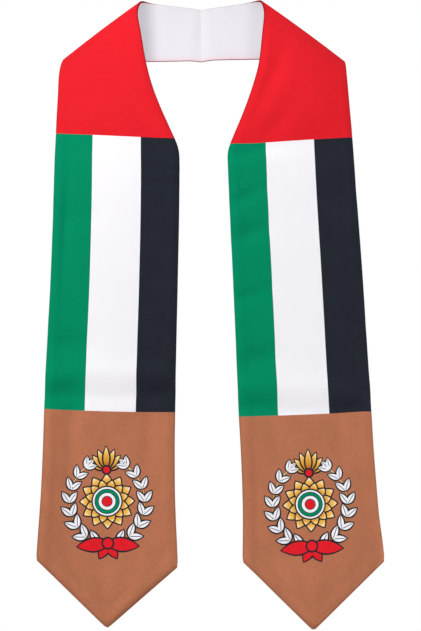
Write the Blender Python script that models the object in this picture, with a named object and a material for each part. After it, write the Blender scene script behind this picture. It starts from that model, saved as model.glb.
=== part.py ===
"""A lined stole in its worn form: it lies round the back of the neck, passes over both shoulders
and hangs down the front in two flat panels that flare and end in points.

Each half is a printed cloth whose long and pointed edges turn back round a plain lining. The
halves meet in a mitred seam at the centre of the back neck. X runs across, the front faces -Y,
Z is up, and the origin is the middle of the neck opening at the height of the shoulder ridge.
"""

import math

import bpy
import numpy as np

# Overall sizes in metres
END_WIDTH = 0.150  # a panel's width at its lower corners, which all widths are shares of
DROP = 0.670  # from the ridge at the neck down to the points
DEPTH = 0.264  # from the hanging panels to the edge on the upper back
POINT = 0.070  # height of the pointed end below its corners
SWAY = 0.0115  # how far the points hang to one side of the neck's centre
BOW = 0.008  # how far the cloth bulges between its two edges, at the most
FOLD = 0.003  # height of the deepest crease

# Cloth and making sizes in metres
CLOTH = 0.0010  # printed cloth with its seam allowance
LINING = 0.0010
GAP = 0.0003  # clearance between the cloths, and between lining and turned edge
TURN = 0.0010  # width of the edge that is turned back
SEAM_GAP = 0.0003  # clearance between the halves in the back seam
COLUMNS = 10  # strips across a panel

# The half at +X, section by section from the back seam to the pointed end. Across is in shares
# of END_WIDTH, back in shares of DEPTH, down in shares of DROP, bow and point of their own size.
SECTION_COLUMNS = (
    "inner_across", "inner_back", "inner_down",
    "outer_across", "outer_back", "outer_down", "bow", "point", "rows_to_next",
)
SECTIONS = (
    (0.000, 0.265, -0.001, 0.000, 0.602, 0.069, 0.45, 0.00, 3),
    (0.220, 0.232, -0.006, 0.500, 0.522, 0.070, 0.45, 0.00, 3),
    (0.381, 0.142, -0.007, 0.867, 0.301, 0.081, 0.35, 0.00, 3),
    (0.440, 0.015, -0.004, 1.000, 0.004, 0.094, 0.12, 0.00, 3),
    (0.428, -0.106, 0.049, 1.027, -0.061, 0.105, 0.40, 0.00, 2),
    (0.403, -0.197, 0.104, 1.036, -0.117, 0.130, 0.80, 0.00, 2),
    (0.355, -0.250, 0.144, 1.041, -0.167, 0.156, 1.00, 0.00, 2),
    (0.291, -0.295, 0.184, 1.043, -0.208, 0.184, 1.00, 0.00, 2),
    (0.215, -0.333, 0.223, 1.049, -0.242, 0.214, 0.85, 0.00, 1),
    (0.173, -0.350, 0.246, 1.052, -0.261, 0.232, 0.75, 0.00, 1),
    (0.169, -0.358, 0.258, 1.054, -0.277, 0.247, 0.70, 0.00, 3),
    (0.175, -0.379, 0.328, 1.069, -0.326, 0.321, 0.50, 0.00, 5),
    (0.193, -0.394, 0.453, 1.094, -0.364, 0.447, 0.35, 0.00, 5),
    (0.211, -0.398, 0.579, 1.126, -0.379, 0.572, 0.25, 0.00, 5),
    (0.218, -0.398, 0.641, 1.142, -0.383, 0.637, 0.20, 0.00, 2),
    (0.228, -0.394, 0.704, 1.153, -0.386, 0.701, 0.20, 0.10, 2),
    (0.234, -0.394, 0.766, 1.168, -0.386, 0.765, 0.20, 0.32, 2),
    (0.234, -0.390, 0.829, 1.190, -0.386, 0.828, 0.18, 0.65, 3),
    (0.224, -0.390, 0.895, 1.217, -0.386, 0.893, 0.15, 1.00, 0),
)

# Creases and dents of the front, in the order they lie down each half. Down, long and short are
# shares of DROP, across runs from 0 at the inner edge to 1 at the outer, turn is in degrees from
# level with the outer end lower, and height is a share of FOLD, negative where the cloth dips.
FOLD_COLUMNS = ("side", "down", "across", "turn", "long", "short", "height")
FOLDS = (
    (-1, 0.130, 0.52, 0.0, 0.060, 0.045, -0.90),
    (-1, 0.180, 0.30, -50.0, 0.035, 0.016, -0.60),
    (-1, 0.268, 0.50, 0.0, 0.120, 0.018, -0.55),
    (-1, 0.360, 0.40, 4.0, 0.100, 0.020, 0.40),
    (-1, 0.586, 0.50, 2.0, 0.160, 0.016, 1.00),
    (-1, 0.615, 0.50, 2.0, 0.160, 0.014, -0.60),
    (-1, 0.800, 0.60, 0.0, 0.080, 0.040, 0.45),
    (1, 0.140, 0.60, -55.0, 0.060, 0.020, -0.80),
    (1, 0.120, 0.25, -65.0, 0.050, 0.020, 0.60),
    (1, 0.280, 0.60, -12.0, 0.110, 0.018, -0.60),
    (1, 0.410, 0.50, 0.0, 0.110, 0.018, -0.35),
    (1, 0.450, 0.50, 0.0, 0.110, 0.020, 0.40),
    (1, 0.606, 0.50, 0.0, 0.160, 0.016, 1.00),
    (1, 0.634, 0.50, 0.0, 0.160, 0.014, -0.60),
    (1, 0.790, 0.40, 0.0, 0.080, 0.040, 0.40),
)


def clear_scene():
    for obj in list(bpy.data.objects):
        bpy.data.objects.remove(obj, do_unlink=True)


def columns_of(names, rows):
    """The table's columns by name."""
    return {name: np.array([row[i] for row in rows], float) for i, name in enumerate(names)}


def slopes(places, values):
    """Slope at each place for a smooth curve that never swings past its points."""
    step = np.diff(places)
    rise = np.diff(values) / step
    slope = np.zeros(len(values))
    for i in range(1, len(values) - 1):
        if rise[i - 1] * rise[i] > 0:
            before = 2 * step[i] + step[i - 1]
            after = step[i] + 2 * step[i - 1]
            slope[i] = (before + after) / (before / rise[i - 1] + after / rise[i])
    first = (2 * step[0] + step[1]) * rise[0] - step[0] * rise[1]
    slope[0] = first / (step[0] + step[1])
    slope[-1] = rise[-1]
    return slope


def curve_at(places, values, at):
    """Values of the smooth curve through the points, at the places asked for."""
    slope = slopes(places, values)
    i = np.clip(np.searchsorted(places, at, side="right") - 1, 0, len(places) - 2)
    step = places[i + 1] - places[i]
    t = (at - places[i]) / step
    start = (1 + 2 * t) * (1 - t) ** 2 * values[i] + t * (1 - t) ** 2 * step * slope[i]
    end = t * t * (3 - 2 * t) * values[i + 1] + t * t * (t - 1) * step * slope[i + 1]
    return start + end


def section_rows():
    """Inner edge, outer edge, bow and point of every row of the half at +X."""
    table = columns_of(SECTION_COLUMNS, SECTIONS)
    sizes = (END_WIDTH, DEPTH, -DROP)
    inner = [table[n] * s for n, s in zip(("inner_across", "inner_back", "inner_down"), sizes)]
    outer = [table[n] * s for n, s in zip(("outer_across", "outer_back", "outer_down"), sizes)]
    middle = (np.array(inner) + np.array(outer)).T / 2
    places = np.r_[0, np.cumsum(np.linalg.norm(np.diff(middle, axis=0), axis=1))]
    at = [places[-1:]]
    for k, count in enumerate(table["rows_to_next"][:-1].astype(int)):
        at.append(np.linspace(places[k], places[k + 1], count, endpoint=False))
    at = np.sort(np.concatenate(at))
    inner = np.stack([curve_at(places, line, at) for line in inner], axis=1)
    outer = np.stack([curve_at(places, line, at) for line in outer], axis=1)
    bow = BOW * curve_at(places, table["bow"], at)
    point = POINT * curve_at(places, table["point"], at)
    return inner, outer, bow, point


def normals(grid):
    """Unit normals of a grid of points, towards the printed side of the half at +X."""
    along = np.gradient(grid, axis=0)
    across = np.gradient(grid, axis=1)
    normal = np.cross(along, across)
    return normal / np.linalg.norm(normal, axis=2, keepdims=True)


def fold_heights(side, grid, across):
    """Lift of the cloth at each point from the creases and dents of this half."""
    lift = np.zeros(grid.shape[:2])
    down = -grid[:, :, 2]
    sideways = (across - 0.5) * END_WIDTH
    front = np.clip(-grid[:, :, 1] / (0.1 * DEPTH), 0, 1)
    for row in FOLDS:
        fold = dict(zip(FOLD_COLUMNS, row))
        if fold["side"] != side:
            continue
        turn = math.radians(fold["turn"])
        x = sideways - (fold["across"] - 0.5) * END_WIDTH
        z = down - fold["down"] * DROP
        line = x * math.cos(turn) + z * math.sin(turn)
        off = z * math.cos(turn) - x * math.sin(turn)
        shape = np.exp(-((line / (fold["long"] * DROP)) ** 2) - (off / (fold["short"] * DROP)) ** 2)
        lift += fold["height"] * FOLD * shape
    return lift * front


def middle_surface(side):
    """Points and normals halfway through the cloths of one half: rows by columns.

    The first three and last three columns lie at the folded edge, at the turned edge's inner
    line and at the lining's edge, and the last three rows do the same along the pointed end.
    """
    inner, outer, bow, point = section_rows()
    lean = math.hypot(POINT, END_WIDTH / 2) / (END_WIDTH / 2)
    ends = np.array([TURN + GAP, TURN, 0]) * lean
    inner = np.r_[inner[:-1], inner[-1:], inner[-1:], inner[-1:]]
    outer = np.r_[outer[:-1], outer[-1:], outer[-1:], outer[-1:]]
    inner[-3:, 2] += ends
    outer[-3:, 2] += ends
    bow = np.r_[bow[:-1], bow[-1:], bow[-1:], bow[-1:]]
    point = np.r_[point[:-1], point[-1:], point[-1:], point[-1:]]
    width = np.linalg.norm(outer - inner, axis=1)[:, None]
    strips = np.arange(1, COLUMNS) / COLUMNS + 0 * width
    edge = np.array([0, TURN, TURN + GAP]) / width
    across = np.hstack([edge, strips, 1 - edge[:, ::-1]])
    grid = inner[:, None] + (outer - inner)[:, None] * across[:, :, None]
    grid[:, :, 2] -= point[:, None] * (1 - np.abs(2 * across - 1))
    lift = bow[:, None] * 4 * across * (1 - across) + fold_heights(side, grid, across)
    grid = grid + normals(grid) * lift[:, :, None]
    grid[:, :, 0] = side * np.maximum(grid[:, :, 0], 0)
    grid[0, :, 0] = side * SEAM_GAP / 2
    grid[:, :, 0] += SWAY * np.clip(-grid[:, :, 2] / DROP, 0, 1)
    normal = normals(grid) * side
    normal[0, :, 0] = 0
    normal[0] /= np.linalg.norm(normal[0], axis=1, keepdims=True)
    return grid, normal


def quads(top, flip):
    """Faces over a grid of vertex numbers."""
    a = top[:-1, :-1]
    b = top[1:, :-1]
    c = top[1:, 1:]
    d = top[:-1, 1:]
    order = (a, d, c, b) if flip else (a, b, c, d)
    return np.stack([corner.ravel() for corner in order], axis=1).tolist()


def cloth_object(name, points, faces, color, roughness):
    mesh = bpy.data.meshes.new(name)
    mesh.from_pydata(points.tolist(), [], faces)
    mesh.validate()
    mesh.polygons.foreach_set("use_smooth", [True] * len(mesh.polygons))
    material = bpy.data.materials.new(name)
    material.use_nodes = True
    shader = material.node_tree.nodes["Principled BSDF"]
    shader.inputs["Base Color"].default_value = (*color, 1)
    shader.inputs["Roughness"].default_value = roughness
    mesh.materials.append(material)
    obj = bpy.data.objects.new(name, mesh)
    bpy.context.scene.collection.objects.link(obj)
    return obj


def numbered(grids):
    """One list of points and the numbers of each grid's points in it."""
    points = np.concatenate([grid.reshape(-1, 3) for grid in grids])
    numbers = []
    start = 0
    for grid in grids:
        count = grid.shape[0] * grid.shape[1]
        numbers.append(np.arange(start, start + count).reshape(grid.shape[:2]))
        start += count
    return points, numbers


def printed_cloth(side, name):
    """The printed face and its edge turned back on three sides."""
    grid, normal = middle_surface(side)
    half = CLOTH / 2 + LINING / 2 + GAP / 2
    columns = np.r_[0, 1, 3 : grid.shape[1] - 3, grid.shape[1] - 2, grid.shape[1] - 1]
    rows = np.r_[0 : grid.shape[0] - 3, grid.shape[0] - 2, grid.shape[0] - 1]
    grid = grid[rows][:, columns]
    normal = normal[rows][:, columns]
    front = grid + normal * half
    floor = (grid + normal * (half - CLOTH))[:-1, 1:-1]
    rim = grid - normal * half
    points, (top, low, turned) = numbered([front, floor, rim])
    flip = side < 0
    faces = quads(top, flip) + quads(low, not flip)
    faces += quads(turned[:, :2], not flip) + quads(turned[:, -2:], not flip)
    faces += quads(turned[-2:, 1:-1], not flip)
    outline = [
        (np.stack([top[:, 0], turned[:, 0]]), flip),
        (np.stack([top[:, -1], turned[:, -1]]), not flip),
        (np.stack([top[-1], turned[-1]]), flip),
        (np.stack([low[:, 0], turned[:-1, 1]]), not flip),
        (np.stack([low[:, -1], turned[:-1, -2]]), flip),
        (np.stack([low[-1], turned[-2, 1:-1]]), not flip),
        (np.stack([top[0, 1:-1], low[0]]), not flip),
    ]
    for strip, turn in outline:
        faces += quads(strip, turn)
    ends = [
        [top[0, 0], top[0, 1], low[0, 0], turned[0, 1], turned[0, 0]],
        [top[0, -1], turned[0, -1], turned[0, -2], low[0, -1], top[0, -2]],
    ]
    faces += [[int(i) for i in (end[::-1] if flip else end)] for end in ends]
    return cloth_object(name, points, faces, (0.79, 0.02, 0.03), 0.6)


def lining(side, name):
    """The plain lining inside the turned edge."""
    grid, normal = middle_surface(side)
    half = CLOTH / 2 + LINING / 2 + GAP / 2
    grid = grid[:-2, 2:-2]
    normal = normal[:-2, 2:-2]
    points, (top, low) = numbered([grid - normal * (half - LINING), grid - normal * half])
    flip = side < 0
    faces = quads(top, flip) + quads(low, not flip)
    faces += quads(np.stack([top[:, 0], low[:, 0]]), flip)
    faces += quads(np.stack([top[:, -1], low[:, -1]]), not flip)
    faces += quads(np.stack([top[-1], low[-1]]), flip)
    faces += quads(np.stack([top[0], low[0]]), not flip)
    return cloth_object(name, points, faces, (0.88, 0.87, 0.87), 0.7)


clear_scene()
for half_side, half_name in ((-1, "left"), (1, "right")):
    printed_cloth(half_side, "printed_cloth_" + half_name)
    lining(half_side, "lining_" + half_name)
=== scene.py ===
import math

import bmesh
import bpy
import numpy as np
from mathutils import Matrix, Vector
from mathutils.bvhtree import BVHTree


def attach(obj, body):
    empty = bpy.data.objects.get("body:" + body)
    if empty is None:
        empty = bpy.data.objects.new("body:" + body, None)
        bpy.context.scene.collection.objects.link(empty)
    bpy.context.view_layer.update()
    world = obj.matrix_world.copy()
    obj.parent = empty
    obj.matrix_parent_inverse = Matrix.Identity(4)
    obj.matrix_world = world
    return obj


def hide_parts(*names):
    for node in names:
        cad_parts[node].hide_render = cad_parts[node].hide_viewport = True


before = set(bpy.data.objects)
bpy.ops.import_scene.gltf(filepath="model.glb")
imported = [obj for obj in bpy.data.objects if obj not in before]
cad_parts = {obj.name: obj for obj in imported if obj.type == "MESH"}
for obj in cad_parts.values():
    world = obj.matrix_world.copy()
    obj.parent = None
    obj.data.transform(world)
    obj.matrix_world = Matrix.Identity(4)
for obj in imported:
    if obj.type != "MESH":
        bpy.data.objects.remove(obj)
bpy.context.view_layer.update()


# The printed cloth: its weave and dyes
# A close polyester twill with a faint sheen. The colours are printed into it, so the same
# threads and the same slight unevenness run through every colour.

def sums_in(group):
    """A function that adds one Math node to a node group and gives the node's output."""
    def sum_of(kind, a, b=None, c=None):
        node = group.nodes.new("ShaderNodeMath")
        node.operation = kind
        for socket, value in zip(node.inputs, (a, b, c)):
            if isinstance(value, (int, float)):
                socket.default_value = value
            elif value is not None:
                group.links.new(value, socket)
        return node.outputs[0]
    return sum_of


def woven_threads():
    """Node group: tone and surface height of the twill, from the cloth's own measured layout.

    The map called cloth holds metres across and along the cloth. The one called border holds
    metres from the cloth's border, which set how far a painted shade reaches in from the
    folded edge, and the strength of a painted shadow at the sides of the neck.
    """
    group = bpy.data.node_groups.new("woven_threads", "ShaderNodeTree")
    sockets = group.interface
    for name, usual in (("Thread pitch", 0.0006), ("Thread height", 0.00004),
                        ("Rumple height", 0.0002), ("Mottle", 0.05), ("Thread shade", 0.02),
                        ("Edge shade", 0.0), ("Edge reach", 0.0013)):
        socket = sockets.new_socket(name, in_out="INPUT", socket_type="NodeSocketFloat")
        socket.default_value = usual
    for name in ("Tone", "Height", "Near edge"):
        sockets.new_socket(name, in_out="OUTPUT", socket_type="NodeSocketFloat")
    nodes = group.nodes
    link = group.links.new
    given = nodes.new("NodeGroupInput")
    result = nodes.new("NodeGroupOutput")
    layout = nodes.new("ShaderNodeUVMap")
    layout.uv_map = "cloth"
    split = nodes.new("ShaderNodeSeparateXYZ")
    link(layout.outputs["UV"], split.inputs[0])
    border = nodes.new("ShaderNodeUVMap")
    border.uv_map = "border"
    border_split = nodes.new("ShaderNodeSeparateXYZ")
    link(border.outputs["UV"], border_split.inputs[0])
    sum_of = sums_in(group)

    def unevenness(scale, detail):
        node = nodes.new("ShaderNodeTexNoise")
        node.inputs["Scale"].default_value = scale
        node.inputs["Detail"].default_value = detail
        link(layout.outputs["UV"], node.inputs["Vector"])
        return sum_of("SUBTRACT", node.outputs["Fac"], 0.5)

    across, along = split.outputs["X"], split.outputs["Y"]
    from_border, painted_neck_shade = border_split.outputs["X"], border_split.outputs["Y"]
    weft_pitch, weft_share, broad_share = 1.7, 0.4, 0.8
    turns = sum_of("DIVIDE", 2 * math.pi, given.outputs["Thread pitch"])
    rib = sum_of("SINE", sum_of("MULTIPLY", sum_of("ADD", across, along), turns))
    weft = sum_of("SINE", sum_of("MULTIPLY", sum_of("MULTIPLY", along, weft_pitch), turns))
    threads = sum_of("ADD", rib, sum_of("MULTIPLY", weft, weft_share))
    fine = unevenness(scale=420, detail=3)
    broad = unevenness(scale=45, detail=2)
    soft = unevenness(scale=22, detail=4)
    uneven = sum_of("ADD", fine, sum_of("MULTIPLY", broad, broad_share))
    mottled = sum_of("MULTIPLY", uneven, given.outputs["Mottle"])
    shade = sum_of("MULTIPLY", threads, given.outputs["Thread shade"])
    # Painted shade: the dye darkens toward the border, standing in for the shadow in the rolled edge.
    reach = sum_of("MULTIPLY", given.outputs["Edge reach"], -1.0)
    near = sum_of("EXPONENT", sum_of("DIVIDE", from_border, reach))
    dark = sum_of("MULTIPLY", near, given.outputs["Edge shade"])
    tone = sum_of("ADD", sum_of("ADD", mottled, shade), 1.0)
    shaded = sum_of("MULTIPLY", tone, sum_of("SUBTRACT", 1.0, dark))
    # Painted shadow: the border map's second value greys the lining at the sides of the neck.
    unshaded = sum_of("SUBTRACT", 1.0, painted_neck_shade)
    link(sum_of("MULTIPLY", shaded, unshaded), result.inputs["Tone"])
    link(near, result.inputs["Near edge"])
    fibre = sum_of("MULTIPLY", threads, given.outputs["Thread height"])
    waves = sum_of("MULTIPLY", soft, given.outputs["Rumple height"])
    link(sum_of("ADD", fibre, waves), result.inputs["Height"])
    return group


threads_group = woven_threads()


def dyed_cloth(name, colour, mottle, painted_edge_shade=0.0, roughness=0.6, sheen=0.05):
    """A cloth of one colour, given as the linear colour of its dye, with painted shade darkening its
    folded edge.
    """
    cloth = bpy.data.materials.new(name)
    cloth.use_nodes = True
    nodes = cloth.node_tree.nodes
    link = cloth.node_tree.links.new
    shader = nodes["Principled BSDF"]
    shader.inputs["Roughness"].default_value = roughness
    shader.inputs["Specular IOR Level"].default_value = 0.01
    shader.inputs["Sheen Tint"].default_value = (*colour, 1)
    shader.inputs["Sheen Weight"].default_value = sheen
    shader.inputs["Sheen Roughness"].default_value = 0.4
    weave = nodes.new("ShaderNodeGroup")
    weave.name = "weave"
    weave.node_tree = threads_group
    weave.inputs["Mottle"].default_value = mottle
    weave.inputs["Edge shade"].default_value = painted_edge_shade
    dye = nodes.new("ShaderNodeMix")
    dye.name = "dye"
    dye.data_type = "RGBA"
    dye.blend_type = "MULTIPLY"
    dye.inputs["Factor"].default_value = 1
    dye.inputs["A"].default_value = (*colour, 1)
    link(weave.outputs["Tone"], dye.inputs["B"])
    link(dye.outputs["Result"], shader.inputs["Base Color"])
    bump = nodes.new("ShaderNodeBump")
    bump.inputs["Distance"].default_value = 1
    link(weave.outputs["Height"], bump.inputs["Height"])
    link(bump.outputs["Normal"], shader.inputs["Normal"])
    return cloth


# The edge shade numbers paint shade into each colour's folded edge, where the rolled edge falls in
# shadow.
red_cloth = dyed_cloth("red_cloth", (0.67, 0.014, 0.022), mottle=0.14, painted_edge_shade=0.75)
green_cloth = dyed_cloth("green_cloth", (0.001, 0.216, 0.103), mottle=0.12, painted_edge_shade=0.15)
white_cloth = dyed_cloth("white_cloth", (0.80, 0.79, 0.825), mottle=0.012, sheen=0.03)
black_cloth = dyed_cloth("black_cloth", (0.0165, 0.0195, 0.0275), mottle=0.4, painted_edge_shade=0.2,
                         sheen=0.06)
tan_cloth = dyed_cloth("tan_cloth", (0.405, 0.147, 0.076), mottle=0.32, painted_edge_shade=0.56,
                       sheen=0.06)


# The printed cloth: its cut and hang
# A half starts at the seam behind the neck, lies over the shoulder and hangs down the chest.
# It is cut narrower round the neck, has a corner where the neckline ends, and flares to a point.

cloth_columns = ("inner_x", "inner_y", "inner_z", "outer_x", "outer_y", "outer_z", "bow",
                 "arch", "point")
cloth_sections = {  # millimetres; bow, arch and point are heights too
    "left": (
        (0.0, 70.0, 1.6, 0.0, 159.0, -45.4, 3.6, 0, 0),
        (-33.2, 61.0, 4.7, -75.0, 138.0, -49.3, 3.6, 0, 0),
        (-56.1, 38.0, 5.0, -129.0, 80.0, -54.0, 2.8, 0, 0),
        (-65.4, 3.0, 2.4, -150.2, 0.0, -63.1, 0.8, 0, 0),
        (-69.0, -8.0, -8.5, -150.8, -5.0, -65.6, 1.4, 0, 0),
        (-65.0, -28.0, -30.4, -151.8, -15.0, -70.7, 3.0, 0, 0),
        (-58.1, -52.0, -69.7, -153.1, -31.0, -86.9, 6.0, 0.4, 0),
        (-50.9, -66.0, -96.7, -152.9, -44.0, -104.3, 8.0, 0.9, 0),
        (-40.7, -78.0, -123.3, -153.2, -55.0, -123.5, 8.0, 1.6, 0),
        (-32.4, -85.0, -141.9, -153.5, -61.5, -137.9, 7.0, 2.0, 0),
        (-26.3, -89.5, -155.4, -153.5, -66.0, -148.2, 6.5, 2.2, 0),
        (-22.5, -92.5, -165.7, -153.9, -70.5, -159.9, 6.0, 2.2, 0),
        (-21.6, -94.7, -175.3, -154.2, -75.0, -171.9, 5.5, 2.1, 0),
        (-21.8, -100.0, -219.7, -154.9, -86.5, -217.0, 4.0, 1.8, 0),
        (-23.3, -104.0, -303.8, -157.3, -96.0, -301.6, 3.0, 1.3, 0),
        (-24.9, -105.0, -377.2, -161.1, -99.5, -375.1, 2.2, 1.0, 0),
        (-26.0, -105.0, -442.3, -163.7, -101.0, -439.1, 0.6, 0.8, 0),
        (-26.5, -107.0, -478.9, -164.7, -104.0, -476.9, -1.6, 0.5, 7),
        (-26.4, -108.0, -515.5, -166.2, -105.5, -514.6, -2.8, 0.2, 26),
        (-25.3, -106.0, -556.5, -168.8, -104.5, -554.0, -2.4, 0, 55),
        (-24.2, -104.5, -579.2, -170.4, -103.0, -573.5, -1.8, 0, 67),
        (-23.2, -102.0, -605.7, -172.2, -101.0, -598.2, -1.2, 0, 67),
    ),
    "right": (
        (0.0, 70.0, 1.6, 0.0, 159.0, -45.4, 3.6, 0, 0),
        (31.8, 61.0, 4.9, 75.0, 138.0, -46.2, 3.6, 0, 0),
        (56.9, 38.0, 6.2, 133.0, 80.0, -55.0, 2.8, 0, 0),
        (66.4, 3.0, 3.2, 157.8, 0.0, -65.3, 0.8, 0, 0),
        (69.6, -8.0, -8.5, 157.9, -5.0, -67.5, 1.4, 0, 0),
        (67.2, -28.0, -30.4, 157.9, -15.0, -71.7, 3.0, 0, 0),
        (62.8, -52.0, -69.7, 158.3, -31.0, -86.9, 6.0, 0.4, 0),
        (55.7, -66.0, -96.7, 159.0, -44.0, -104.3, 8.0, 0.9, 0),
        (46.5, -78.0, -123.3, 160.0, -55.0, -123.5, 8.0, 1.6, 0),
        (38.1, -85.0, -144.0, 161.1, -61.5, -139.0, 7.0, 2.2, 0),
        (31.3, -89.5, -160.6, 161.8, -66.0, -152.0, 6.5, 2.5, 0),
        (28.9, -92.5, -168.8, 162.3, -70.5, -162.0, 6.0, 2.5, 0),
        (29.0, -94.7, -177.4, 162.9, -75.0, -174.0, 5.5, 2.3, 0),
        (30.6, -100.0, -219.7, 165.4, -86.5, -217.0, 4.0, 1.8, 0),
        (34.5, -104.0, -303.8, 171.1, -96.0, -301.6, 3.0, 1.2, 0),
        (37.7, -105.0, -377.2, 175.6, -99.5, -375.1, 2.2, 0.8, 0),
        (40.6, -105.0, -447.3, 179.9, -101.0, -441.8, 0.6, 0.5, 0),
        (42.5, -106.5, -481.0, 181.8, -103.5, -477.9, -1.6, 0.3, 7),
        (44.0, -107.5, -516.6, 184.6, -105.0, -515.2, -2.8, 0.1, 26),
        (44.8, -105.5, -555.5, 188.2, -103.5, -555.0, -2.4, 0, 58),
        (44.7, -103.5, -576.0, 191.2, -102.0, -575.0, -1.8, 0, 71.5),
        (44.4, -100.5, -600.6, 194.0, -99.5, -599.6, -1.2, 0, 71.5),
    ),
}
red_ends, tan_starts = 10, 16  # the sections where the print changes colour

# Creases left by folding and wearing. Down, long, short and height are millimetres, across
# runs from 0 at the inner edge to 1, and turn is in degrees. They fade out over the shoulder.
crease_columns = ("down", "across", "turn", "long", "short", "height")
creases = {
    "left": (
        (100, 0.56, 0, 40, 23, -5.2), (120, 0.28, -56, 26, 10, -2.2), (252, 0.90, 88, 60, 7, -2.0),
        (187, 0.12, 2, 20, 5, -1.5), (203, 0.12, 1, 20, 5, -1.5), (239, 0.82, 3, 26, 12, -1.8),
        (370, 0.84, -12, 26, 13, -2.8), (402, 0.50, 1, 110, 13, 1.9), (426, 0.50, 1, 110, 8, -1.1),
        (403, 0.87, 1, 20, 9, 1.6), (421, 0.87, 1, 20, 8, -1.4), (403, 0.12, 1, 20, 9, 2.3),
        (421, 0.12, 1, 20, 8, -2.0), (480, 0.79, 90, 60, 12, -3.0), (461, 0.20, 90, 36, 9, -1.8),
        (590, 0.62, -42, 45, 20, -2.4),
    ),
    "right": (
        (88, 0.18, -74, 45, 14, -2.2), (136, 0.34, -52, 30, 13, -2.4), (170, 0.15, -10, 40, 8, -1.6),
        (212, 0.86, -10, 30, 12, -2.2), (216, 0.13, -24, 22, 8, -2.1), (255, 0.13, -20, 22, 11, -3.0),
        (319, 0.13, -16, 22, 9, -2.2), (349, 0.88, 2, 24, 9, -1.8), (387, 0.14, -10, 25, 13, -3.2),
        (416, 0.50, 1, 110, 12, 1.8), (440, 0.50, 1, 110, 8, -1.2), (417, 0.13, 1, 20, 9, 1.6),
        (435, 0.13, 1, 20, 8, -1.4), (417, 0.88, 1, 20, 9, 2.3), (435, 0.88, 1, 20, 8, -2.0),
        (461, 0.26, 90, 40, 12, -2.3), (466, 0.75, 90, 40, 9, -2.0), (585, 0.34, -42, 45, 22, -3.2),
        (500, 0.12, 90, 50, 10, -1.2),
    ),
}

folded_edge = 0.00115  # radius of the rolled edge, half the thickness of both cloths
inner_fullness, outer_fullness = 0.07, 1.35  # of the rolled edges behind the neck
back_seam_height = 0.0021  # how far the seam behind the neck stands in toward the wearer
back_seam_reach = 0.0050  # how far from the seam its ridge dies out
corner_tuck, corner_reach = 0.0010, 0.0050  # how much the corners of the end are rounded off
tip_blunt = 0.02  # rounding of the point, as a share of half the width
turned_back = 0.0013  # width of the edge seen from behind
allowance = 0.0080  # seam allowance that fills out the edge
edge_steps = np.array((0, 0.12, 0.35, 0.7, 1.15, 1.3, 1.32, 2.0, 3.2, 4.6, 6.0, 7.2, 8.2, 9.0,
                       9.8, 10.6, 12.0, 14.5, 17.5)) / 1000
row_step = 0.0024
smoothing_rounds = 10
crease_span = 140  # millimetres across, which the places of the creases are shares of
stripe_shares = {"left": (0.301, 0.688), "right": (0.298, 0.679)}
stripe_run_in = 0.06  # length above the neckline's corner where the stripes stay as wide as at it
side_painted_shade, end_painted_shade = 1.6, 0.55  # how much narrower the painted edge shade is along the sides, and wider along the end, most at its right-hand side, which faces away from the light


def smooth_line(places, values, at):
    """Values of a smooth curve through the sections that never swings past them."""
    step = np.diff(places)
    rise = np.diff(values, axis=0) / step[:, None]
    slope = np.zeros_like(values)
    before = (2 * step[1:] + step[:-1])[:, None]
    after = (step[1:] + 2 * step[:-1])[:, None]
    with np.errstate(divide="ignore", invalid="ignore"):
        mean = (before + after) / (before / rise[:-1] + after / rise[1:])
    slope[1:-1] = np.where(rise[:-1] * rise[1:] > 0, np.nan_to_num(mean), 0)
    slope[0] = ((2 * step[0] + step[1]) * rise[0] - step[0] * rise[1]) / (step[0] + step[1])
    slope[-1] = rise[-1]
    i = np.clip(np.searchsorted(places, at, side="right") - 1, 0, len(places) - 2)
    width = step[i][:, None]
    t = ((at - places[i]) / step[i])[:, None]
    start = (1 + 2 * t) * (1 - t) ** 2 * values[i] + t * (1 - t) ** 2 * width * slope[i]
    end = t * t * (3 - 2 * t) * values[i + 1] + t * t * (t - 1) * width * slope[i + 1]
    return start + end


def soft_step(value, low, high):
    t = np.clip((value - low) / (high - low), 0, 1)
    return t * t * (3 - 2 * t)


def outward(grid):
    """Unit normals of a grid of points."""
    normal = np.cross(np.gradient(grid, axis=0), np.gradient(grid, axis=1))
    return normal / np.linalg.norm(normal, axis=2, keepdims=True)


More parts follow.
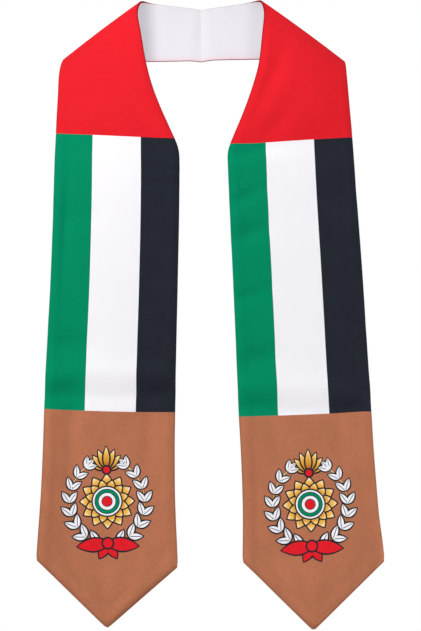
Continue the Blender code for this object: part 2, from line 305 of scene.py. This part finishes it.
def lay_of_half(half):
    """The middle of the cloth of one half as rows of points, with what each row and column is."""
    side = -1 if half == "left" else 1
    table = np.array(cloth_sections[half], float) / 1000
    middle = (table[:, 0:3] + table[:, 3:6]) / 2
    places = np.r_[0, np.cumsum(np.linalg.norm(np.diff(middle, axis=0), axis=1))]
    rows, section_row = [], []
    for k in range(len(places) - 1):
        section_row.append(sum(len(r) for r in rows))
        count = max(1, round((places[k + 1] - places[k]) / row_step))
        rows.append(np.linspace(places[k], places[k + 1], count, endpoint=False))
    rows = np.concatenate(rows)
    end_width = np.linalg.norm(table[-1, 3:6] - table[-1, 0:3])
    lean = math.hypot(table[-1, 8], end_width / 2) / (end_width / 2)
    rows = rows[rows < places[-1] - (edge_steps[-1] + 0.002) * lean]
    rows = np.r_[rows, places[-1] - edge_steps[::-1] * lean]
    line = smooth_line(places, table, rows)
    for _ in range(smoothing_rounds):
        line[1:-1, :6] = (line[:-2, :6] + 2 * line[1:-1, :6] + line[2:, :6]) / 4
    tuck = corner_tuck * np.clip(1 - (places[-1] - rows) / lean / corner_reach, 0, 1) ** 2
    inward = line[:, 3:6] - line[:, 0:3]
    inward *= tuck[:, None] / np.linalg.norm(inward, axis=1, keepdims=True)
    inner, outer = line[:, 0:3] + inward, line[:, 3:6] - inward
    width = np.linalg.norm(outer - inner, axis=1)[:, None]
    thick_inner = 1 + (inner_fullness - 1) * soft_step(line[:, 1:2], 0.0, 0.057)
    thick_outer = 1 + (outer_fullness - 1) * soft_step(line[:, 1:2], -0.02, 0.04)
    corner_row = section_row[red_ends + 2]
    near = np.clip(1 - (rows[section_row[red_ends]] - rows) / stripe_run_in, 0, 1)[:, None]
    straight = width + near * np.maximum(width[corner_row] - width, 0)
    straight[corner_row:] = width[corner_row:]
    first, second = (width - (1 - share) * straight for share in stripe_shares[half])
    inner_steps, outer_steps = edge_steps * thick_inner, edge_steps * thick_outer
    across = [inner_steps]
    for low, high, count in ((inner_steps[:, -1:], first, 9), (first, second, 16),
                             (second, width - outer_steps[:, -1:], 9)):
        across.append(low + (high - low) * np.linspace(0, 1, count + 1)[None, 1:])
    across.append(width - outer_steps[:, -2::-1])
    stripe_column = (len(edge_steps) + 8, len(edge_steps) + 24)
    across = np.concatenate(across, axis=1)
    share = across / width
    grid = inner[:, None] + (outer - inner)[:, None] * share[:, :, None]
    crown = 4 * share * (1 - share)
    roof = np.sqrt((2 * share - 1) ** 2 + tip_blunt ** 2)
    eaves = math.sqrt(1 + tip_blunt ** 2)
    chevron = (eaves - roof) / (eaves - tip_blunt)
    grid[:, :, 2] -= line[:, 8:9] * chevron + line[:, 7:8] * crown
    lift = line[:, 6:7] * crown
    down = -1000 * grid[:, :, 2]
    sideways = (share - 0.5) * crease_span
    front = np.clip(-grid[:, :, 1] / 0.025, 0, 1)
    for row in creases[half]:
        crease = dict(zip(crease_columns, row))
        turn = math.radians(crease["turn"])
        x = sideways - (crease["across"] - 0.5) * crease_span
        z = down - crease["down"]
        lengthwise = (x * math.cos(turn) + z * math.sin(turn)) / crease["long"]
        off = (z * math.cos(turn) - x * math.sin(turn)) / crease["short"]
        lift = lift + front * crease["height"] / 1000 * np.exp(-(lengthwise ** 2) - off ** 2)
    seam = back_seam_height * np.exp(-(rows / back_seam_reach) ** 1.5)[:, None]
    lift = lift - seam * (0.4 + 0.6 * soft_step(share, 0, 0.5))
    grid = grid + outward(grid) * side * lift[:, :, None]
    grid[0, :, 0] = side * 0.00002
    normal = outward(grid) * side
    normal[0, :, 0] = 0
    normal /= np.linalg.norm(normal, axis=2, keepdims=True)
    from_end = np.broadcast_to(((places[-1] - rows) / lean)[:, None], share.shape)
    from_side = np.minimum(across / thick_inner, (width - across) / thick_outer)
    toward_outer = soft_step(share, 0.35, 0.65)
    toward_right = toward_outer if side > 0 else 1 - toward_outer
    # The painted edge shade reaches farther in on the right-hand part of the end, which faces away
    # from the light.
    painted_shade_from_end = from_end * (1 - end_painted_shade * toward_right)
    return {
        "side": side, "points": grid, "normal": normal, "across": across, "share": share,
        "width": width, "along": rows, "from_end": from_end,
        "thick": thick_inner + (thick_outer - thick_inner) * share,
        "edge": np.minimum(from_side, from_end),
        "border": np.minimum(from_side * side_painted_shade, painted_shade_from_end),
        "toward_outer": toward_outer, "toward_right": toward_right,
        "red_row": section_row[red_ends], "tan_row": section_row[tan_starts],
        "stripe_column": stripe_column,
    }


def edge_rise(distance, reach):
    return 1 - (1 - np.clip(distance / reach, 0, 1)) ** 2


def seam_ridge(lay):
    """Height of the cloth over the seam allowance, uneven from one edge to the other."""
    left_edge, right_edge = 0.0015, 0.0011
    left_end, right_end = 0.0006, 0.0020
    end_allowance, end_past = 0.006, 0.018
    past = allowance + 0.007
    inner, outer = (right_edge, left_edge) if lay["side"] < 0 else (left_edge, right_edge)
    from_inner, from_outer, from_end = lay["across"], lay["width"] - lay["across"], lay["from_end"]
    inner = inner * (edge_rise(from_inner, allowance) - 0.4 * soft_step(from_inner, allowance, past))
    outer = outer * (edge_rise(from_outer, allowance) - 0.4 * soft_step(from_outer, allowance, past))
    sides = inner + (outer - inner) * lay["toward_outer"]
    sides = sides * (1 + 0.5 * soft_step(-lay["points"][:, :, 2], 0.42, 0.47))
    end = edge_rise(from_end, end_allowance) - 0.8 * soft_step(from_end, end_allowance, end_past)
    end = end * edge_rise(np.minimum(from_inner, from_outer), allowance)
    end = end * (left_end + (right_end - left_end) * lay["toward_right"])
    ridge = sides * edge_rise(from_end, end_allowance) + end
    return ridge * np.clip(-lay["points"][:, :, 1] / 0.04 - 0.3, 0, 1)


def grid_faces(numbers, flip):
    a, b, c, d = numbers[:-1, :-1], numbers[1:, :-1], numbers[1:, 1:], numbers[:-1, 1:]
    order = (a, d, c, b) if flip else (a, b, c, d)
    return np.stack([corner.ravel() for corner in order], axis=1)


def two_sided_cloth(name, upper, lower, flip, dye, materials, layout, borders):
    """A closed cloth between two grids of points, joined round its border, as a mesh object.

    Dye numbers the material of each face, layout is the map called cloth, and borders are the
    maps called border of the upper and the lower face.
    """
    shape = upper.shape[:2]
    count = shape[0] * shape[1]
    top = np.arange(count).reshape(shape)
    low = top + count
    faces = [grid_faces(top, flip), grid_faces(low, not flip)]
    dyes = [dye.ravel(), dye.ravel()]
    for line, low_line, turned, dye_line in (
        (top[:, 0], low[:, 0], flip, dye[:, 0]), (top[:, -1], low[:, -1], not flip, dye[:, -1]),
        (top[-1], low[-1], flip, dye[-1]), (top[0], low[0], not flip, dye[0]),
    ):
        faces.append(grid_faces(np.stack([line, low_line]), turned))
        dyes.append(dye_line)
    points = np.concatenate([upper.reshape(-1, 3), lower.reshape(-1, 3)])
    mesh = bpy.data.meshes.new(name)
    mesh.from_pydata(points.tolist(), [], np.concatenate(faces).tolist())
    corner = np.zeros(len(mesh.loops), np.int32)
    mesh.loops.foreach_get("vertex_index", corner)
    for kind, places in (("cloth", (layout, layout)), ("border", borders)):
        uv = np.concatenate([face.reshape(-1, 2) for face in places])[corner].astype(np.float32)
        mesh.uv_layers.new(name=kind).data.foreach_set("uv", uv.ravel())
    for material in materials:
        mesh.materials.append(material)
    mesh.polygons.foreach_set("material_index", np.concatenate(dyes).astype(np.int32))
    mesh.polygons.foreach_set("use_smooth", np.ones(len(mesh.polygons), bool))
    cloth = bpy.data.objects.new(name, mesh)
    bpy.context.scene.collection.objects.link(cloth)
    bpy.context.view_layer.objects.active = cloth
    work = bmesh.new()
    work.from_mesh(mesh)
    bmesh.ops.remove_doubles(work, verts=work.verts, dist=1e-6)
    work.to_mesh(mesh)
    work.free()
    mesh.set_sharp_from_angle(angle=math.radians(55))
    return cloth


lays = {half: lay_of_half(half) for half in ("left", "right")}


# The printed cloth: its two halves
# One piece of cloth with every colour printed on it: red round the neck, then green, white and
# black stripes, then tan. Its long and pointed edges roll round the lining to the back.

cloth_thickness = 0.00045
print_cloths = (red_cloth, green_cloth, white_cloth, black_cloth, tan_cloth)

for half, lay in lays.items():
    edge = lay["edge"]
    roll = folded_edge * np.sqrt(1 - (1 - np.clip(edge / folded_edge, 0, 1)) ** 2)
    upper = lay["points"] + lay["normal"] * (lay["thick"] * roll + seam_ridge(lay))[:, :, None]
    inside = lay["thick"] * (folded_edge - cloth_thickness) + seam_ridge(lay)
    back = np.where(edge < turned_back + 1e-5, -roll * lay["thick"], inside)
    lower = lay["points"] + lay["normal"] * back[:, :, None]
    rows, columns = edge.shape[0] - 1, edge.shape[1] - 1
    dye = np.zeros((rows, columns), int)
    first, second = lay["stripe_column"]
    stripes = dye[lay["red_row"]:lay["tan_row"]]
    order = (3, 2, 1) if half == "left" else (1, 2, 3)
    stripes[:, :first] = order[0]
    stripes[:, first:second] = order[1]
    stripes[:, second:] = order[2]
    dye[lay["tan_row"]:] = 4
    layout = np.stack([lay["across"], np.broadcast_to(lay["along"][:, None], edge.shape)], axis=2)
    # The border map sets the painted edge shade; the lower face gets zero, so its turned edge is
    # painted in full shade.
    border = np.stack([lay["border"], np.zeros_like(edge)], axis=2)
    piece = two_sided_cloth("printed_" + half, upper, lower, lay["side"] < 0, dye,
                            print_cloths, layout, (border, np.zeros_like(border)))
    lay["printed"] = piece
    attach(piece, "root")
    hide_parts("printed_cloth_" + half)


# The printed ornament
# The middle of each tan end carries a print: a gold rosette with a ringed centre, inside a wreath
# of white leaves with a gold fan above and a red bow below. It lies flat in the cloth's surface.

gold_print = dyed_cloth("gold_print", (1, 1, 1), mottle=0.04, sheen=0.01)
gold_nodes = gold_print.node_tree.nodes
gold_link = gold_print.node_tree.links.new
motif = gold_nodes.new("ShaderNodeUVMap")
motif.uv_map = "motif"
motif_split = gold_nodes.new("ShaderNodeSeparateXYZ")
gold_link(motif.outputs["UV"], motif_split.inputs[0])
gold_fade = gold_nodes.new("ShaderNodeValToRGB")
gold_fade.color_ramp.elements[0].color = (0.26, 0.095, 0.008, 1)
gold_fade.color_ramp.elements[1].color = (0.93, 0.78, 0.48, 1)
for place, colour in ((0.30, (0.55, 0.235, 0.022, 1)), (0.72, (0.78, 0.44, 0.09, 1))):
    gold_fade.color_ramp.elements.new(place).color = colour
gold_link(motif_split.outputs["Y"], gold_fade.inputs["Fac"])
gold_link(gold_fade.outputs["Color"], gold_nodes["dye"].inputs["A"])

print_inks = (black_cloth, white_cloth, red_cloth, green_cloth, gold_print)
black, white, red, green, gold = range(5)
outline = 1.8  # millimetres of black round each shape
fan_height, bow_height = 33, -44  # millimetres above the middle of the ornament
ornament_places = {"left": (-97.4, -535.6, 1.0), "right": (115.3, -538.8, 2.5)}  # x, z, turn


def petal(length, width, reach=0.0, turn=0.0, at=(0, 0), grow=0.0, blade=0):
    """A pointed petal that starts reach from a point; blade is 1 or -1 for one half of a leaf."""
    def shape(u, v):
        along = reach - grow + (length + 2 * grow) * v
        half = (width / 2 + grow) * np.sin(np.pi * v ** 0.85) ** 0.85
        rib = np.minimum(0.4, half)
        x = blade * (rib + (half - rib) * u) if blade else (2 * u - 1) * half
        turned = math.radians(turn)
        return (at[0] + x * math.cos(turned) - along * math.sin(turned),
                at[1] + x * math.sin(turned) + along * math.cos(turned))
    return shape


def ring(inner, outer, at=(0, 0)):
    def shape(u, v):
        radius = inner + (outer - inner) * v
        return at[0] + radius * np.cos(2 * np.pi * u), at[1] + radius * np.sin(2 * np.pi * u)
    return shape


def stem(half_width):
    """A line along the branch at the right; the one at the left is its mirror image."""
    def shape(u, v):
        angle = np.radians(-84 + 140 * v)
        grow = (2 * u - 1) * half_width
        return (39.5 + grow) * np.cos(angle), -1 + (44 + grow) * np.sin(angle)
    return shape


def printed_shape(shape, layer, ink, steps=(4, 8), mirror=False):
    """One flat colour of the print as points in millimetres, faces, motif layout and ink."""
    u, v = np.meshgrid(np.linspace(0, 1, steps[0] + 1), np.linspace(0, 1, steps[1] + 1))
    x, y = shape(u, v)
    if mirror:
        x = -x
    points = np.stack([x, y, np.full_like(x, layer)], axis=2)
    side = np.cross(points[1:, 1:] - points[:-1, :-1], points[:-1, 1:] - points[1:, :-1])[..., 2]
    faces = grid_faces(np.arange(x.size).reshape(x.shape), side.sum() < 0)
    return points.reshape(-1, 3), faces, np.stack([u, v], axis=2).reshape(-1, 2), ink


def joined_shapes(shapes):
    """Points, faces, motif layout and ink of each face of several printed shapes."""
    start = np.cumsum([0] + [len(shape[0]) for shape in shapes])
    faces = [shape[1] + first for shape, first in zip(shapes, start)]
    inks = [np.full(len(shape[1]), shape[3]) for shape in shapes]
    return (np.concatenate([shape[0] for shape in shapes]), np.concatenate(faces),
            np.concatenate([shape[2] for shape in shapes]), np.concatenate(inks))


def outlined(layer, ink, steps=(6, 12), **sizes):
    """A petal in a colour over a slightly larger black one."""
    return [printed_shape(petal(grow=outline, **sizes), layer, black, steps),
            printed_shape(petal(**sizes), layer + 0.03, ink, steps)]


def leafy_branches():
    """Geometry Nodes group: pairs of leaves along every branch, smaller toward its tip."""
    group = bpy.data.node_groups.new("leafy_branches", "GeometryNodeTree")
    sockets = group.interface
    for name, kind in (("Branches", "Geometry"), ("Leaf", "Object"), ("Pairs", "Int"),
                       ("Spread", "Float"), ("Tip size", "Float"), ("Seed", "Int"),
                       ("Outline ink", "Material"), ("Leaf ink", "Material")):
        sockets.new_socket(name, in_out="INPUT", socket_type="NodeSocket" + kind)
    sockets.new_socket("Leaves", in_out="OUTPUT", socket_type="NodeSocketGeometry")
    nodes = group.nodes
    link = group.links.new
    given = nodes.new("NodeGroupInput")
    result = nodes.new("NodeGroupOutput")

    sum_of = sums_in(group)

    path = nodes.new("GeometryNodeMeshToCurve")
    link(given.outputs["Branches"], path.inputs["Mesh"])
    spots = nodes.new("GeometryNodeResampleCurve")
    link(path.outputs["Curve"], spots.inputs["Curve"])
    link(given.outputs["Pairs"], spots.inputs["Count"])
    way = nodes.new("GeometryNodeInputTangent")
    split = nodes.new("ShaderNodeSeparateXYZ")
    link(way.outputs["Tangent"], split.inputs[0])
    heading = sum_of("ARCTAN2", split.outputs["Y"], split.outputs["X"])
    along = nodes.new("GeometryNodeSplineParameter").outputs["Factor"]
    shrink = sum_of("SUBTRACT", 1.0, sum_of("MULTIPLY", along, sum_of(
        "SUBTRACT", 1.0, given.outputs["Tip size"])))
    leaf = nodes.new("GeometryNodeObjectInfo")
    link(given.outputs["Leaf"], leaf.inputs["Object"])
    tip = nodes.new("GeometryNodeCurveEndpointSelection")
    tip.inputs["Start Size"].default_value = 0
    together = nodes.new("GeometryNodeJoinGeometry")
    for side in (1, -1, 0):
        stray = nodes.new("FunctionNodeRandomValue")
        stray.data_type = "FLOAT"
        stray.inputs["Min"].default_value = -0.05
        stray.inputs["Max"].default_value = 0.05
        link(given.outputs["Seed"], stray.inputs["Seed"])
        wide = sum_of("MULTIPLY_ADD", given.outputs["Spread"], side, heading)
        turned = nodes.new("ShaderNodeCombineXYZ")
        link(sum_of("ADD", wide, stray.outputs["Value"]), turned.inputs["Z"])
        placed = nodes.new("GeometryNodeInstanceOnPoints")
        link(spots.outputs["Curve"], placed.inputs["Points"])
        link(leaf.outputs["Geometry"], placed.inputs["Instance"])
        link(turned.outputs["Vector"], placed.inputs["Rotation"])
        link(shrink, placed.inputs["Scale"])
        if side == 0:
            link(tip.outputs["Selection"], placed.inputs["Selection"])
        link(placed.outputs["Instances"], together.inputs["Geometry"])
    real = nodes.new("GeometryNodeRealizeInstances")
    link(together.outputs["Geometry"], real.inputs["Geometry"])
    height = nodes.new("ShaderNodeSeparateXYZ")
    link(nodes.new("GeometryNodeInputPosition").outputs["Position"], height.inputs[0])
    dark = nodes.new("GeometryNodeSetMaterial")
    link(real.outputs["Geometry"], dark.inputs["Geometry"])
    link(given.outputs["Outline ink"], dark.inputs["Material"])
    pale = nodes.new("GeometryNodeSetMaterial")
    link(dark.outputs["Geometry"], pale.inputs["Geometry"])
    link(given.outputs["Leaf ink"], pale.inputs["Material"])
    link(sum_of("GREATER_THAN", height.outputs["Z"], 0.00002), pale.inputs["Selection"])
    link(pale.outputs["Geometry"], result.inputs["Leaves"])
    return group


def wreath_leaves():
    """Every leaf of the wreath as one printed shape, placed by the node group."""
    blades = joined_shapes(
        [printed_shape(petal(15.0, 6.6, turn=-90, grow=outline), 0.0, black, (4, 6))]
        + [printed_shape(petal(15.0, 6.6, turn=-90, blade=half), 0.03, white, (2, 6))
           for half in (-1, 1)])
    leaf_mesh = bpy.data.meshes.new("leaf")
    leaf_mesh.from_pydata((blades[0] / 1000).tolist(), [], blades[1].tolist())
    leaf = bpy.data.objects.new("leaf", leaf_mesh)
    x, y = stem(0)(np.full(40, 0.5), np.linspace(0.06, 1, 40))
    points = [(s * a / 1000, b / 1000, 0) for s in (1, -1) for a, b in zip(x, y)]
    edges = [(i, i + 1) for i in range(79) if i != 39]
    branch_mesh = bpy.data.meshes.new("branches")
    branch_mesh.from_pydata(points, edges, [])
    branches = bpy.data.objects.new("branches", branch_mesh)
    for thing in (leaf, branches):
        bpy.context.scene.collection.objects.link(thing)
    group = leafy_branches()
    grower = branches.modifiers.new("leaves", "NODES")
    grower.node_group = group
    values = {"Leaf": leaf, "Pairs": 8, "Spread": math.radians(34), "Tip size": 0.82, "Seed": 4,
              "Outline ink": black_cloth, "Leaf ink": white_cloth}
    for socket in group.interface.items_tree:
        if socket.name in values:
            grower[socket.identifier] = values[socket.name]
    ready = branches.evaluated_get(bpy.context.evaluated_depsgraph_get())
    mesh = bpy.data.meshes.new_from_object(ready)
    names = [material.name for material in print_inks]
    ink = np.array([names.index(slot.name) if slot else black for slot in mesh.materials])
    faces = np.array([list(face.vertices) for face in mesh.polygons])
    inks = ink[[face.material_index for face in mesh.polygons]]
    points = np.array([point.co for point in mesh.vertices]) * 1000
    for thing in (leaf, branches):
        bpy.data.objects.remove(thing)
    return points, faces, inks


shapes = []
for mirror in (False, True):
    shapes.append(printed_shape(stem(0.9), 0.0, black, (2, 50), mirror))
    shapes.append(printed_shape(stem(0.4), 0.03, gold, (2, 50), mirror))
for turn in range(0, 360, 30):
    shapes += outlined(0.0, gold, length=17, width=10.5, reach=11, turn=turn)
    shapes += outlined(0.06, gold, length=10, width=7.6, reach=12, turn=turn + 15)
for turn in (-66, 66, -44, 44, -22, 22, 0):
    shapes += outlined(0.035 * (3 - abs(turn) / 22), gold, length=22 - abs(turn) / 12, width=6,
                       reach=2, turn=turn, at=(0, fan_height))
for turn, length, width in ((-150, 18, 9), (150, 18, 9), (-96, 32, 13), (96, 32, 13)):
    shapes += outlined(0.06 if length < 20 else 0.12, red, (12, 24), length=length, width=width,
                       turn=turn, at=(0, bow_height))
for height, radius in ((bow_height, 5.0), (fan_height, 3.4)):
    shapes.append(printed_shape(ring(0, radius + outline, at=(0, height)), 0.18, black, (32, 2)))
    shapes.append(printed_shape(ring(0, radius, at=(0, height)), 0.21, red, (32, 2)))
shapes.append(printed_shape(ring(0, 16.4), 0.12, black, (64, 5)))
for inner, outer, ink in ((13.2, 14.9, white), (9.6, 12.4, green), (5.8, 8.8, white), (0, 5.0, red)):
    shapes.append(printed_shape(ring(inner, outer), 0.15, ink, (64, 2)))
flat_points, flat_faces, flat_motif, flat_inks = joined_shapes(shapes)
leaf_points, leaf_faces, leaf_inks = wreath_leaves()
leaf_points[:, 2] += 0.06
flat_faces = np.concatenate([flat_faces, leaf_faces + len(flat_points)])
flat_motif = np.concatenate([flat_motif, np.zeros((len(leaf_points), 2))])
flat_inks = np.concatenate([flat_inks, leaf_inks])
flat_points = np.concatenate([flat_points, leaf_points])

for half, lay in lays.items():
    printed = lay["printed"]
    cloth = BVHTree.FromPolygons([point.co for point in printed.data.vertices],
                                 [face.vertices for face in printed.data.polygons])
    middle_x, middle_z, turn = ornament_places[half]
    c, s = math.cos(math.radians(turn)), math.sin(math.radians(turn))
    laid = []
    for x, y, layer in flat_points:
        from_front = Vector((middle_x + x * c - y * s, -200, middle_z + x * s + y * c)) / 1000
        spot = cloth.ray_cast(from_front, Vector((0, 1, 0)))[0]
        laid.append((spot.x, spot.y - (0.03 + layer) / 1000, spot.z))
    mesh = bpy.data.meshes.new("printed_ornament_" + half)
    mesh.from_pydata(laid, [], flat_faces.tolist())
    corner = np.zeros(len(mesh.loops), np.int32)
    mesh.loops.foreach_get("vertex_index", corner)
    # A border of one metre keeps the painted edge shade off the print.
    for name, layout in (("cloth", flat_points[:, :2] / 1000), ("motif", flat_motif),
                         ("border", np.array([[1, 0]] * len(flat_motif)))):
        values = layout[corner].astype(np.float32).ravel()
        mesh.uv_layers.new(name=name).data.foreach_set("uv", values)
    for ink in print_inks:
        mesh.materials.append(ink)
    mesh.polygons.foreach_set("material_index", flat_inks.astype(np.int32))
    mesh.polygons.foreach_set("use_smooth", np.ones(len(mesh.polygons), bool))
    ornament = bpy.data.objects.new("printed_ornament_" + half, mesh)
    bpy.context.scene.collection.objects.link(ornament)
    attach(ornament, "root")


# The lining of each half
# Plain white cloth, cut a little smaller, that lies inside the turned edge. It shows inside the
# neck opening and from behind. It is tinted pink toward its edge, and a painted shadow greys it
# at the sides of the neck.

lining_white, lining_pink = (0.88, 0.853, 0.90), (1.0, 0.56, 0.64)
lining_cloth = dyed_cloth("lining_cloth", lining_white, mottle=0.015, roughness=0.85, sheen=0.0)
lining_nodes = lining_cloth.node_tree.nodes
lining_link = lining_cloth.node_tree.links.new
lining_nodes["weave"].inputs["Edge reach"].default_value = 0.0026
# The lining is tinted pink toward its edge.
pink_edge_tint = lining_nodes.new("ShaderNodeMix")
pink_edge_tint.data_type = "RGBA"
pink_edge_tint.inputs["A"].default_value = (*lining_white, 1)
pink_edge_tint.inputs["B"].default_value = (*lining_pink, 1)
lining_link(lining_nodes["weave"].outputs["Near edge"], pink_edge_tint.inputs["Factor"])
lining_link(pink_edge_tint.outputs["Result"], lining_nodes["dye"].inputs["A"])

neck_shade_strength = {"left": 0.36, "right": 0.13}  # strength of the painted shadow on the lining at each side of the neck
lining_depth, lining_thickness = 0.00050, 0.00045  # under the middle of both cloths
slack_height, slack_step = 0.00012, 0.031

for half, lay in lays.items():
    inside = lay["edge"] > turned_back + 1e-5
    rows = np.flatnonzero(inside[:, inside.shape[1] // 2])
    columns = np.flatnonzero(inside[5])
    cut = np.ix_(rows, columns)
    points, normal = lay["points"][cut], lay["normal"][cut]
    slack = slack_height * np.sin(lay["along"][rows] * 2 * math.pi / slack_step)[:, None]
    slack = slack * np.clip(lay["edge"][cut] / 0.02 - 0.2, 0, 1)
    thick = lay["thick"][cut]
    upper = points + normal * (slack - lining_depth * thick)[:, :, None]
    lower = points + normal * (slack - (lining_depth + lining_thickness) * thick)[:, :, None]
    layout = np.stack([lay["across"][cut],
                       np.broadcast_to(lay["along"][rows][:, None], (len(rows), len(columns)))],
                      axis=2)
    dye = np.zeros((len(rows) - 1, len(columns) - 1), int)
    # Painted shadow: the lining greys 45 to 100 mm out from the middle, toward the back, where it
    # turns round the sides of the neck.
    from_middle = np.abs(points[:, :, 0])
    painted_neck_shade = soft_step(from_middle, 0.045, 0.066) * soft_step(-from_middle, -0.100, -0.074)
    painted_neck_shade = neck_shade_strength[half] * painted_neck_shade * soft_step(points[:, :, 1], -0.03, 0.0)
    border = np.stack([lay["edge"][cut], painted_neck_shade], axis=2)
    piece = two_sided_cloth("lining_of_" + half, upper, lower, lay["side"] < 0, dye,
                            (lining_cloth,), layout, (border, border))
    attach(piece, "root")
    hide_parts("lining_" + half)


# Studio
# A pale floor below, a broad soft light high on the left, a weak one over the right shoulder, a
# small reflector low under the neck opening, and the camera level with the middle of the scarf.

scene = bpy.context.scene
scene.view_settings.view_transform = "Standard"

floor_mesh = bpy.data.meshes.new("floor")
floor_radius, floor_height = 1.6, -0.95
rim = [(floor_radius * math.cos(a), floor_radius * math.sin(a), floor_height)
       for a in np.linspace(0, 2 * math.pi, 96, endpoint=False)]
floor_mesh.from_pydata(rim, [], [list(range(96))])
floor = bpy.data.objects.new("floor", floor_mesh)
scene.collection.objects.link(floor)
pale = bpy.data.materials.new("pale_floor")
pale.use_nodes = True
pale.node_tree.nodes["Principled BSDF"].inputs["Base Color"].default_value = (0.86, 0.86, 0.86, 1)
pale.node_tree.nodes["Principled BSDF"].inputs["Roughness"].default_value = 0.9
floor_mesh.materials.append(pale)

sky = bpy.data.worlds.new("studio")
scene.world = sky
sky.use_nodes = True
nodes = sky.node_tree.nodes
link = sky.node_tree.links.new
around = nodes["Background"]
around.inputs["Color"].default_value = (1, 1, 1, 1)
around.inputs["Strength"].default_value = 0.42
behind = nodes.new("ShaderNodeBackground")
behind.inputs["Color"].default_value = (1, 1, 1, 1)
behind.inputs["Strength"].default_value = 1.0
which = nodes.new("ShaderNodeLightPath")
either = nodes.new("ShaderNodeMixShader")
link(which.outputs["Is Camera Ray"], either.inputs["Fac"])
link(around.outputs[0], either.inputs[1])
link(behind.outputs[0], either.inputs[2])
link(either.outputs[0], nodes["World Output"].inputs["Surface"])

for name, place, aimed_height, size, power in (
    ("key_light", (-3.5, -2.6, 2.2), -0.33, 1.1, 226),
    ("shoulder_light", (1.1, -0.8, 1.0), -0.33, 0.8, 14),
    ("low_reflector", (0.55, 0.0, -0.78), 0, 0.4, 3.9),
):
    lamp = bpy.data.lights.new(name, "AREA")
    lamp.shape = "DISK"
    lamp.size = size
    lamp.energy = power
    light = bpy.data.objects.new(name, lamp)
    light.location = place
    aim = Vector((0, 0, aimed_height)) - Vector(place)
    light.rotation_euler = aim.to_track_quat("-Z", "Y").to_euler()
    scene.collection.objects.link(light)

lens = bpy.data.cameras.new("camera")
lens.lens = 135.85
lens.sensor_width = 36
lens.clip_start, lens.clip_end = 0.1, 50
camera = bpy.data.objects.new("camera", lens)
camera.location = (0.0109, -2.6, -0.341)
camera.rotation_euler = (math.radians(90), 0, 0)
scene.collection.objects.link(camera)
scene.camera = camera

bpy.context.view_layer.update()
